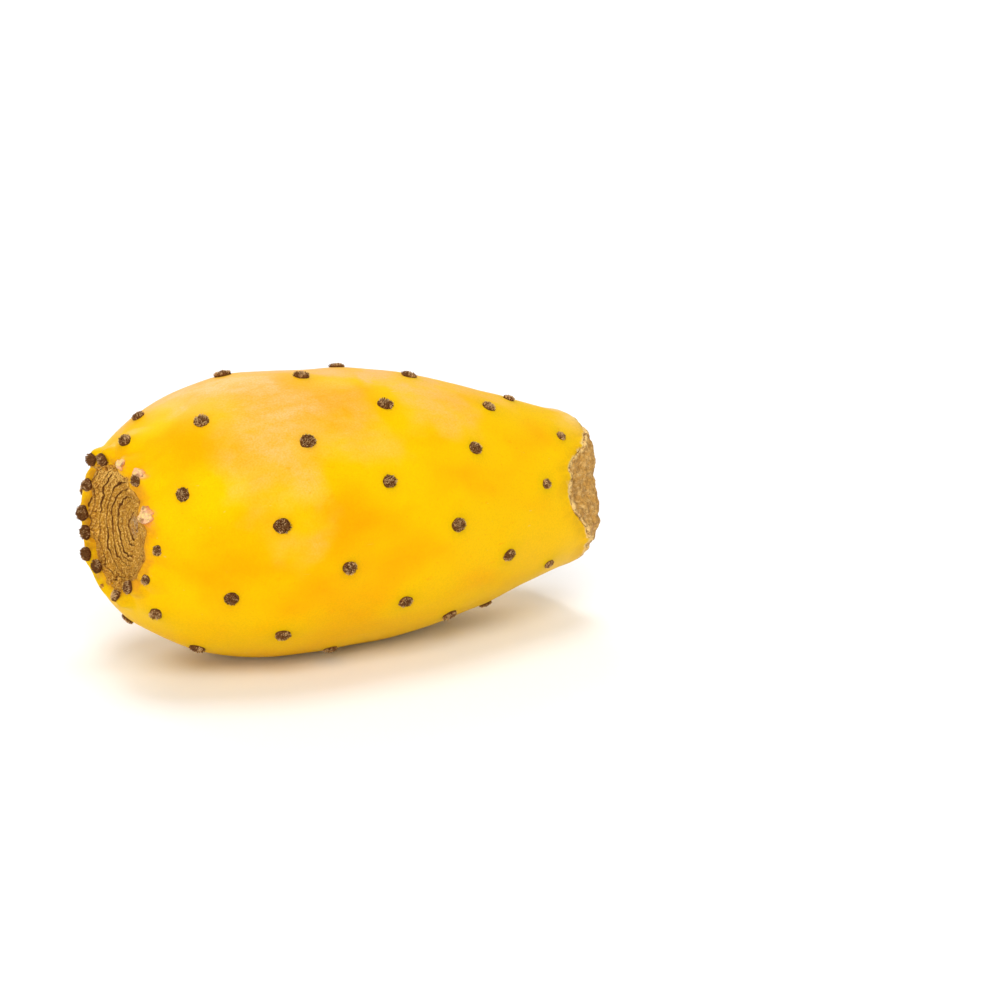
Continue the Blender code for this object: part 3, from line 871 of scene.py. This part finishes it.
def domes(frames, rings, steps, rough, raggedness):
    """Points[spot, ring, step] of a dome on each spot, from its top to a root below the
    skin. Noise roughens it, and pulls its edge in and out."""
    top, normal, _, _, size = frames
    share = np.linspace(0, 1, rings)[:, None] + np.zeros((1, steps))
    turn = np.linspace(0, -2 * math.pi, steps, endpoint=False)[None] + 0 * share
    share = np.repeat(share.reshape(1, -1), len(size), 0)
    turn = np.repeat(turn.reshape(1, -1), len(size), 0)
    lift = dome_height(share, size[:, None]) - FELT_EDGE_SINK * smooth_step(share, 0.85, 1)
    points = on_spot(frames, share, turn, lift)
    wobble = rough * layered_noise(points, 0.7, 4)
    pull = raggedness * layered_noise(points, 0.9, 4) * share
    out = (points - top[:, None]) * pull[..., None]
    points = points + out + normal[:, None] * wobble[..., None]
    root = np.repeat((top - FELT_ROOT * normal)[:, None, None], steps, 2)
    return np.concatenate([points.reshape(len(size), rings, steps, 3), root], 1)


def many_closed(name, points):
    """One mesh of many closed ring grids: points[shape, ring, step]."""
    shapes, rings, steps = points.shape[:3]
    inner = points[:, 1:-1].reshape(shapes, -1, 3)
    ends = points[:, [0, -1]].mean(2)
    all_points = np.concatenate([ends[:, :1], inner, ends[:, 1:]], 1)
    offsets = (np.arange(shapes) * all_points.shape[1])[:, None, None]
    faces = [
        (group[None] + offsets).reshape(-1, group.shape[1])
        for group in ring_faces(rings, steps)
    ]
    return link(name, mesh_from(name, lay_down(all_points), faces))


felt = many_closed("areole_felt", domes(FELT_FRAMES, *FELT_DOME))
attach(felt, "root")

# %% The torn lumps
lumps = many_closed("torn_lumps", domes(LUMP_FRAMES, *LUMP_DOME))
lump_share = np.repeat(np.linspace(0, 1, LUMP_DOME[0])[1:], LUMP_DOME[1])
store(lumps.data, "edge", np.tile(np.concatenate([[0], lump_share, [1]]), len(LUMP_SIZE)))
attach(lumps, "root")

# %% [markdown]
# ## Crumbs of cork
# Round the top and the bottom of the flower scar bits of cork came loose and stuck to the
# skin. They could be part of the cork's relief, but then none could lie on its own. The
# areoles' domes do for them too, a few dozen faces each, at random places near the edge.

# %% Crumbs at the top and the bottom of the cork's edge
CRUMBS = 130
CRUMB_SIZES = (0.22, 0.55)
crumb_draws = np.random.default_rng(17)
crumb_side = crumb_draws.choice([0.0, math.radians(175)], CRUMBS)
crumb_angle = crumb_side + crumb_draws.normal(0, math.radians(20), CRUMBS)
crumb_along = cork_edge(crumb_angle) + crumb_draws.normal(-0.3, 0.7, CRUMBS)
CRUMB_FRAMES = frames_at(crumb_along, crumb_angle, crumb_draws.uniform(*CRUMB_SIZES, CRUMBS))
crumbs = many_closed("cork_crumbs", domes(CRUMB_FRAMES, *CRUMB_DOME))
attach(crumbs, "root")

# %% [markdown]
# ## Bristles
# A prickly pear's bristles are short, barbed and packed like those of a brush. From a
# step away each areole is a brush of pale tips with dark gaps. Hair particles would draw
# them too, but they aren't part of a mesh. Here each bristle is a thin four-sided stub of
# eight points, and all of them are one array: areole by bristle by point. The areoles on
# the rim's far side have browner ones, and each areole is a little paler or darker.

# %% Where the bristles stand
BRISTLES = 150
BRISTLE_SPREAD = 0.93
bristle_draws = np.random.default_rng(3)


def bristle_roots(spots):
    """(share, turn) of the bristles on each spot: a sunflower's spread, jittered."""
    number = np.arange(BRISTLES)[None] + np.zeros((spots, 1))
    share = np.sqrt((number + 0.5) / BRISTLES) * BRISTLE_SPREAD
    turn = number * GOLDEN_ANGLE + bristle_draws.uniform(-0.3, 0.3, number.shape)
    turn = turn + bristle_draws.uniform(0, 2 * math.pi, (spots, 1))
    return share * bristle_draws.uniform(0.92, 1.04, share.shape), turn


print(f"{BRISTLES} bristles on each of {len(FELTED)} areoles")

# %% The shape of a bristle
BRISTLE_HALF_WIDTH = 0.085
BRISTLE_LENGTHS = (0.24, 0.46)
BRISTLE_ROOT = 0.12
BRISTLE_SPLAY = 0.35
BRISTLE_TAPER = 0.5
BRISTLE_JITTER = 0.17


def unit(vectors):
    """The vectors, each with the length 1."""
    return vectors / np.linalg.norm(vectors, axis=-1, keepdims=True)


def bristle_points(frames, share, turn):
    """Eight points for each bristle: a square at its root and a smaller one at its tip.
    Its way is normal + splay * share * outwards + jitter."""
    size = frames[4][:, None]
    lift = dome_height(np.minimum(share, 1), size) - BRISTLE_ROOT
    root = on_spot(frames, share, turn, lift)
    out = unit(on_spot(frames, share + 0.1, turn, lift) - root)
    jitter = bristle_draws.normal(0, BRISTLE_JITTER, root.shape)
    way = unit(frames[1][:, None] + BRISTLE_SPLAY * share[..., None] * out + jitter)
    side = unit(np.cross(way, out))
    front = np.cross(side, way)
    length = bristle_draws.uniform(*BRISTLE_LENGTHS, share.shape)
    length = length * (0.5 + 0.5 * size / AREOLE_RADIUS_ON_BELLY)
    width = BRISTLE_HALF_WIDTH * bristle_draws.uniform(0.6, 1.3, share.shape)
    corners = np.arange(4) * math.pi / 2
    square = side[..., None, :] * np.cos(corners)[:, None]
    square = square + front[..., None, :] * np.sin(corners)[:, None]
    square = square * width[..., None, None]
    tip = root + way * length[..., None]
    squares = [root[..., None, :] + square, tip[..., None, :] + BRISTLE_TAPER * square]
    return np.concatenate(squares, -2), root


# %% All bristles as one mesh
TUFT_SIZE = 0.5
DARK_AT_RIM = 0.38
DARK_FADE = 5.0
stubs, stub_roots = bristle_points(FELT_FRAMES, *bristle_roots(len(FELTED)))
stubs = stubs.reshape(-1, 8, 3)
corner = np.arange(4)
beside = (corner + 1) % 4
stub_faces = np.concatenate(
    [[[3, 2, 1, 0]], np.stack([corner, beside, beside + 4, corner + 4], -1), [[4, 5, 6, 7]]]
)
stub_offsets = (np.arange(len(stubs)) * 8)[:, None, None]
bristle_faces = [(stub_faces[None] + stub_offsets).reshape(-1, 4)]
bristle_mesh = mesh_from("bristles", lay_down(stubs.reshape(-1, 3)), bristle_faces)
bristle_mesh.shade_flat()
tone = 0.5 + 0.6 * noise(stub_roots.reshape(-1, 3), TUFT_SIZE, 1.7)
tone = tone + bristle_draws.uniform(-0.3, 0.3, len(stubs))
far_side = smooth_step(-np.sin(AREOLE_ANGLE[FELTED]), -0.2, 0.5)
darker = DARK_AT_RIM * far_side * np.exp(-np.abs(AREOLE_ALONG[FELTED]) / DARK_FADE)
darker = darker + bristle_draws.uniform(-0.12, 0.12, len(FELTED))
tone = np.clip(tone - np.repeat(darker, BRISTLES), 0, 1)
store(bristle_mesh, "tone", np.repeat(tone, 8))
store(bristle_mesh, "up", np.tile([0.0] * 4 + [1.0] * 4, len(stubs)))
bristles = link("bristles", bristle_mesh)
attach(bristles, "root")

# %% [markdown]
# ## Materials
# A material is a small network of nodes. A few helpers keep the networks short: one adds
# a node and joins its inputs, others make noise of a given size, bring a number between
# two limits or multiply numbers, and one lays paints over each other in turn. All
# patterns read the object's own coordinates or the attributes stored on the meshes, so
# they stay on the fruit from every side.

# %% Nodes and numbers in a network


def add_node(tree, kind, inputs, **settings):
    """A node with its settings made, and each input set to a number or linked."""
    made = tree.nodes.new(kind)
    for setting, value in settings.items():
        setattr(made, setting, value)
    for socket, value in inputs.items():
        if isinstance(value, bpy.types.NodeSocket):
            tree.links.new(value, made.inputs[socket])
        else:
            made.inputs[socket].default_value = value
    return made


def attribute(tree, name):
    """A number that is stored on the mesh."""
    return add_node(tree, "ShaderNodeAttribute", {}, attribute_name=name).outputs["Fac"]


def maths(tree, operation, first, second):
    """The two numbers joined, by ADD, SUBTRACT, MULTIPLY or MAXIMUM."""
    made = add_node(tree, "ShaderNodeMath", {0: first, 1: second}, operation=operation)
    return made.outputs[0]


def product(tree, *factors):
    """All factors multiplied. A factor in words is an attribute of the mesh."""
    result, *others = [attribute(tree, f) if isinstance(f, str) else f for f in factors]
    for factor in others:
        result = maths(tree, "MULTIPLY", result, factor)
    return result


# %% Paints, ranges and patterns


def mixed(tree, factor, first, second, blend="MIX"):
    """first where the factor is 0, second where it is 1."""
    inputs = {0: factor, 6: first, 7: second}
    made = add_node(tree, "ShaderNodeMix", inputs, data_type="RGBA", blend_type=blend)
    return made.outputs[2]


def painted(tree, colour, layers):
    """The colour under layers of paint, laid in turn. Each layer is its paint, and the
    factors of how much of it there is."""
    for paint, *factors in layers:
        colour = mixed(tree, product(tree, *factors), colour, paint)
    return colour


def in_range(tree, value, low, high, to_low=0.0, to_high=1.0):
    """A number between low and high, moved smoothly between the two new limits."""
    inputs = {"Value": value, "From Min": low, "From Max": high}
    inputs.update({"To Min": to_low, "To Max": to_high})
    made = add_node(tree, "ShaderNodeMapRange", inputs, interpolation_type="SMOOTHSTEP")
    return made.outputs[0]


def noise_of(tree, place, size_mm, detail=3.0, roughness=0.55):
    """Blender's noise with bumps of about that size, as a number from 0 to 1."""
    inputs = {"Vector": place, "Scale": 1000.0 / size_mm}
    inputs.update({"Detail": detail, "Roughness": roughness})
    return add_node(tree, "ShaderNodeTexNoise", inputs).outputs["Fac"]


def drawn_out(tree, place, share):
    """The place, with X counted at that share, so that patterns are long in X."""
    inputs = {"Vector": place, "Scale": (share, 1, 1)}
    return add_node(tree, "ShaderNodeMapping", inputs).outputs["Vector"]


# %% Starting and finishing a material


def start_material(name, roughness, specular):
    """(material, tree, shader, object coordinates) with the constant sockets set."""
    material = bpy.data.materials.new(name)
    material.use_nodes = True
    tree = material.node_tree
    shader = tree.nodes["Principled BSDF"]
    shader.inputs["Roughness"].default_value = roughness
    shader.inputs["Specular IOR Level"].default_value = specular
    place = add_node(tree, "ShaderNodeTexCoord", {}).outputs["Object"]
    return material, tree, shader, place


def finish(tree, shader, colour, height, distance_mm, strength=1.0):
    """Joins the colour to the shader, and the height as relief finer than the mesh."""
    tree.links.new(colour, shader.inputs["Base Color"])
    inputs = {"Height": height, "Distance": distance_mm * MM, "Strength": strength}
    made = add_node(tree, "ShaderNodeBump", inputs)
    tree.links.new(made.outputs["Normal"], shader.inputs["Normal"])


# %% [markdown]
# ## The skin's material
# Ripe skin is waxy, so it has a soft broad shine and lets a little light in. Its yellow
# and orange come from the numbers on the mesh, made uneven by noise. The peach of the
# bleached side, which is also a painted sheen, is broken up by a finer mottling, and pores
# the size of a pinhead cover everything. Painted shade darkens the underside, and mixes
# with the green round the areoles and the olive by the stem end.

# %% Skin colours and their mixing
YELLOW = (0.88, 0.51, 0.001, 1)
ORANGE = (0.87, 0.37, 0.001, 1)
PEACH = (0.88, 0.48, 0.15, 1)
OLIVE = (0.50, 0.36, 0.006, 1)
STEM_OLIVE = (0.64, 0.34, 0.006, 1)
REFLECTED_YELLOW = (1.0, 0.75, 0.1, 1)
UNDER = (0.79, 0.49, 0.001, 1)
CREAM = (0.88, 0.62, 0.26, 1)
TEAR_RED = (0.78, 0.24, 0.07, 1)
STAIN = (0.62, 0.25, 0.015, 1)
SKIN_SOCKETS = {
    "Specular Tint": REFLECTED_YELLOW,
    "Subsurface Weight": 0.10,
    "Subsurface Radius": (1.0, 0.45, 0.05),
    "Subsurface Scale": 2.0 * MM,
}


def skin_material():
    """Orange to yellow by the mesh's numbers and noise, then the paints over it."""
    material, tree, shader, place = start_material("ripe_skin", 0.42, 0.04)
    for socket, value in SKIN_SOCKETS.items():
        shader.inputs[socket].default_value = value
    streaks = drawn_out(tree, place, 0.5)
    patches = noise_of(tree, streaks, 9, 3, 0.5)
    mottle = noise_of(tree, streaks, 3.0, 5, 0.62)
    grain = noise_of(tree, place, 0.32, 2, 0.6)
    uneven = product(tree, maths(tree, "SUBTRACT", patches, 0.5), 1.7)
    yellow_part = maths(tree, "ADD", attribute(tree, "yellow"), uneven)
    blotch = in_range(tree, mottle, 0.36, 0.58, 0.45, 1.0)
    speckled = in_range(tree, grain, 0.36, 0.64, 0.75, 1.2)
    flecks = in_range(tree, noise_of(tree, streaks, 1.3, 4, 0.7), 0.60, 0.68)
    flecked = in_range(tree, noise_of(tree, place, 11, 1), 0.52, 0.62)
    scratches = noise_of(tree, drawn_out(tree, place, 0.07), 0.7, 2, 0.5)
    layers = [
        (YELLOW, in_range(tree, yellow_part, -0.15, 0.85)),
        # Bleaching and painted sheen: peach laid over the bleached patches.
        (PEACH, "bleached", blotch, speckled),
        (ORANGE, flecks, flecked, 0.6),
        (ORANGE, in_range(tree, noise_of(tree, place, 0.45, 1), 0.66, 0.76, 0.0, 0.5)),
        # Painted shade: a darker yellow laid on the underside.
        (UNDER, "underside", 0.7),
        # Green tint and painted shade round each areole's foot.
        (OLIVE, "green", 0.28),
        # Olive tint and painted shade by the torn stem end.
        (STEM_OLIVE, "stem_near", in_range(tree, mottle, 0.35, 0.65, 0.2, 0.8)),
        (CREAM, in_range(tree, scratches, 0.73, 0.79), 0.25),
        (STAIN, "stained", in_range(tree, mottle, 0.3, 0.6), 0.8),
        (CREAM, "torn"),
        (TEAR_RED, "red_ring", in_range(tree, grain, 0.3, 0.6), 0.7),
    ]
    speck = in_range(tree, grain, 0.3, 0.7, 0.94, 1.03)
    speck = add_node(tree, "ShaderNodeCombineColor", {0: speck, 1: speck, 2: speck})
    colour = painted(tree, ORANGE, layers)
    colour = mixed(tree, 1.0, colour, speck.outputs[0], "MULTIPLY")
    height = maths(tree, "ADD", product(tree, grain, 0.25), noise_of(tree, streaks, 2.2, 3))
    finish(tree, shader, colour, height, 0.08, 0.4)
    return material


skin.data.materials.append(skin_material())
print("the skin is painted with", len(skin.data.materials[0].node_tree.nodes), "nodes")

# %% [markdown]
# ## Cork, felt and torn flesh
# Cork is dry and granular: tan on its lifted sheets, paler at its top by a painted
# highlight, grey in its middle and dark brown in its cracks. The felt is nearly black, so
# that the bristles' pale tips stand out. Torn flesh dries pale at its edge and tan further
# in, with brown crumbs where it bruised.

# %% The cork's finish
CORK_TAN = (0.50, 0.24, 0.023, 1)
CORK_PALE = (0.84, 0.50, 0.11, 1)
CORK_DARK = (0.12, 0.036, 0.004, 1)
CORK_BROWN = (0.30, 0.11, 0.012, 1)
CORK_GREY = (0.50, 0.33, 0.17, 1)


def cork_material():
    """Tan to pale by the grain, the sheets' height and a painted highlight on the top, then
    the browns over it.
    """
    material, tree, shader, place = start_material("scar_cork", 0.9, 0.15)
    grain = noise_of(tree, place, 0.40, 2, 0.6)
    height = in_range(tree, attribute(tree, "lift"), 0.1, 0.9, -0.08, 0.08)
    # Painted highlight: the cork's top, marked by high, is made paler.
    height = maths(tree, "ADD", height, product(tree, "high", 0.3))
    pale = maths(tree, "ADD", grain, height)
    grey = in_range(tree, noise_of(tree, place, 0.5, 2), 0.45, 0.55, 0.2, 0.9)
    layers = [
        (CORK_PALE, in_range(tree, pale, 0.38, 0.62)),
        (CORK_GREY, "middle", grey),
        (CORK_BROWN, in_range(tree, noise_of(tree, place, 0.26, 0), 0.55, 0.66, 0.0, 0.9)),
        (CORK_BROWN, in_range(tree, noise_of(tree, place, 2.5, 3), 0.45, 0.75, 0.0, 0.35)),
        (CORK_BROWN, "margin", in_range(tree, grain, 0.4, 0.6), 0.6),
        (CORK_DARK, in_range(tree, attribute(tree, "crack"), 0.08, 0.75, 0.0, 0.95)),
    ]
    finish(tree, shader, painted(tree, CORK_TAN, layers), grain, 0.25, 0.9)
    return material


cork_finish = cork_material()
cork.data.materials.append(cork_finish)
crumbs.data.materials.append(cork_finish)

# %% The finishes of the felt and the bristles
FELT_DARK = (0.08, 0.028, 0.007, 1)
BRISTLE_BROWN = (0.20, 0.078, 0.018, 1)
BRISTLE_PALE = (0.74, 0.48, 0.22, 1)


def felt_material():
    material, tree, shader, place = start_material("areole_felt", 0.95, 0.1)
    tufts = noise_of(tree, place, 0.25, 3, 0.7)
    colour = mixed(tree, in_range(tree, tufts, 0.4, 0.7), FELT_DARK, BRISTLE_BROWN)
    finish(tree, shader, colour, tufts, 0.2)
    return material


def bristle_material():
    """Brown at the root, and paler to the tip where the bristle's own tone is pale."""
    material, tree, shader, _ = start_material("bristle", 0.7, 0.2)
    tone = in_range(tree, attribute(tree, "tone"), 0.25, 0.85)
    up = in_range(tree, attribute(tree, "up"), 0.0, 0.9, 0.15, 1.0)
    colour = mixed(tree, product(tree, tone, up), BRISTLE_BROWN, BRISTLE_PALE)
    tree.links.new(colour, shader.inputs["Base Color"])
    return material


felt.data.materials.append(felt_material())
bristles.data.materials.append(bristle_material())

# %% The finish of torn flesh
FLESH_PALE = (0.85, 0.58, 0.22, 1)
FLESH_PINK = (0.80, 0.44, 0.24, 1)
FLESH_TAN = (0.56, 0.29, 0.06, 1)
FLESH_BROWN = (0.20, 0.08, 0.012, 1)


def torn_material(name, on_stem):
    """Pale at first, with brown bruises. On the stem scar it turns tan by the distance past
    the torn edge, and a lump turns pink in spots and red at its edge."""
    material, tree, shader, place = start_material(name, 0.6, 0.15)
    bruise = in_range(tree, noise_of(tree, place, 1.3, 5, 0.7), 0.47, 0.60)
    if on_stem:
        past = attribute(tree, "past_tear")
        fibres = noise_of(tree, drawn_out(tree, place, 0.25), 0.7, 4, 0.65)
        tan = maths(tree, "ADD", fibres, in_range(tree, past, 0.0, 1.4, -0.20, 0.12))
        crumbly = in_range(tree, noise_of(tree, place, 0.5, 3, 0.7), 0.48, 0.66, 0.0, 0.6)
        brim = in_range(tree, past, 0.1, 1.2, 1.0, 0.0)
        deep = in_range(tree, attribute(tree, "in_scar"), 0.0, 1.0, 0.45, 0.9)
        layers = [
            (FLESH_TAN, in_range(tree, tan, 0.30, 0.70)),
            (FLESH_BROWN, crumbly),
            (FLESH_BROWN, bruise, maths(tree, "MAXIMUM", brim, deep)),
        ]
    else:
        layers = [
            (FLESH_PINK, in_range(tree, noise_of(tree, place, 0.6, 2), 0.42, 0.58)),
            (FLESH_BROWN, bruise, 0.7),
            (TEAR_RED, in_range(tree, attribute(tree, "edge"), 0.80, 1.0, 0.0, 0.7)),
        ]
    grain = noise_of(tree, place, 0.35, 3, 0.6)
    finish(tree, shader, painted(tree, FLESH_PALE, layers), grain, 0.15, 0.8)
    return material


stem_scar.data.materials.append(torn_material("torn_flesh", True))
lumps.data.materials.append(torn_material("torn_lumps", False))
print("finishes:", [material.name for material in bpy.data.materials])

# %% [markdown]
# ## Floor, light and camera
# The fruit lies on a plain pale floor. Five large soft lights and a pale world keep the
# shadows weak, as on a product photo. The camera stands half a metre away, a little above
# the fruit and to the left of its side, with a long lens. It is turned, not shifted, so
# that the fruit falls where it does in the photograph.

# %% The floor
FLOOR_HALF = 4.0
FLOOR_DROP = 0.05 * MM
FLOOR_WHITE = (0.95, 0.95, 0.945, 1)
floor_corners = np.array([(-1, -1), (1, -1), (1, 1), (-1, 1)]) * FLOOR_HALF
floor_mesh = bpy.data.meshes.new("floor")
floor_mesh.from_pydata([(x, y, -FLOOR_DROP) for x, y in floor_corners], [], [(0, 1, 2, 3)])
floor = link("floor", floor_mesh)
floor_material, _, floor_shader, _ = start_material("floor", 0.8, 0.1)
floor_shader.inputs["Base Color"].default_value = FLOOR_WHITE
floor_mesh.materials.append(floor_material)

# %% The lights
FRUIT_MIDDLE = Vector((0, 0, 0.024))
WORLD_LIGHT = 0.38
# For each light, its place from the fruit's middle and its size in metres, and its watts
LIGHTS = {
    "key": ((-1.0, -1.6, 2.0), 1.6, 32),
    "overhead": ((0.2, 0.4, 2.6), 1.4, 25),
    "back": ((0.6, 2.6, 1.6), 2.0, 34),
    "low_left": ((-1.8, -1.4, 0.4), 1.4, 21),
    "fill": ((1.8, -1.4, 0.9), 1.2, 6),
}

for light_name, (away, size, power) in LIGHTS.items():
    light = bpy.data.lights.new(light_name, "AREA")
    light.shape = "DISK"
    light.size = size
    light.energy = power
    lamp = link(light_name, light)
    lamp.location = FRUIT_MIDDLE + Vector(away)
    lamp.rotation_euler = (-Vector(away)).to_track_quat("-Z", "Y").to_euler()
world = bpy.data.worlds.new("pale_world")
bpy.context.scene.world = world
world.use_nodes = True
world.node_tree.nodes["Background"].inputs["Color"].default_value = (1, 1, 1, 1)
world.node_tree.nodes["Background"].inputs["Strength"].default_value = WORLD_LIGHT
print(f"{len(LIGHTS)} soft lights, each turned to face the fruit")

# %% The camera
PICTURE = 1000
SENSOR = 36.0
FOCAL_PIXELS = 2900
CAMERA_AZIMUTH = math.radians(-29.37)
CAMERA_ELEVATION = math.radians(15.0)
CAMERA_DISTANCE = 0.5
AIM_SHARE = 0.45
AIM_PIXEL = (325.1, 508.1)
NEAREST_SEEN = 0.01


def axis_point(share):
    """A point of the fruit's axis, at that share of its length from the flower end."""
    return Vector(lay_down(np.array([0.0, 0.0, FRUIT_LENGTH * (1 - share)])))


def camera_turn():
    """The camera looks along -Z. Its axes are those of the azimuth and elevation, turned
    so that the aimed point falls on its pixel instead of on the middle."""
    back = Vector(
        (
            math.sin(CAMERA_AZIMUTH) * math.cos(CAMERA_ELEVATION),
            -math.cos(CAMERA_AZIMUTH) * math.cos(CAMERA_ELEVATION),
            math.sin(CAMERA_ELEVATION),
        )
    )
    right = Vector((math.cos(CAMERA_AZIMUTH), math.sin(CAMERA_AZIMUTH), 0))
    upright = back.cross(right)
    axes = Matrix((right, upright, back)).transposed()
    aside = math.atan((AIM_PIXEL[0] - PICTURE / 2) / FOCAL_PIXELS)
    below = math.atan((AIM_PIXEL[1] - PICTURE / 2) / FOCAL_PIXELS)
    turn = Matrix.Rotation(aside, 3, "Y") @ Matrix.Rotation(below, 3, "X")
    return axes @ turn, back


camera_data = bpy.data.cameras.new("camera")
camera_data.sensor_width = SENSOR
camera_data.lens = FOCAL_PIXELS * SENSOR / PICTURE
camera_data.clip_start = NEAREST_SEEN
camera = link("camera", camera_data)
camera_axes, camera_back = camera_turn()
camera_place = axis_point(AIM_SHARE) + camera_back * CAMERA_DISTANCE
camera.matrix_world = Matrix.Translation(camera_place) @ camera_axes.to_4x4()
bpy.context.scene.camera = camera
bpy.context.scene.view_settings.view_transform = "Standard"
print(f"a lens of {camera_data.lens:.0f} mm, the camera at {tuple(camera_place)}")
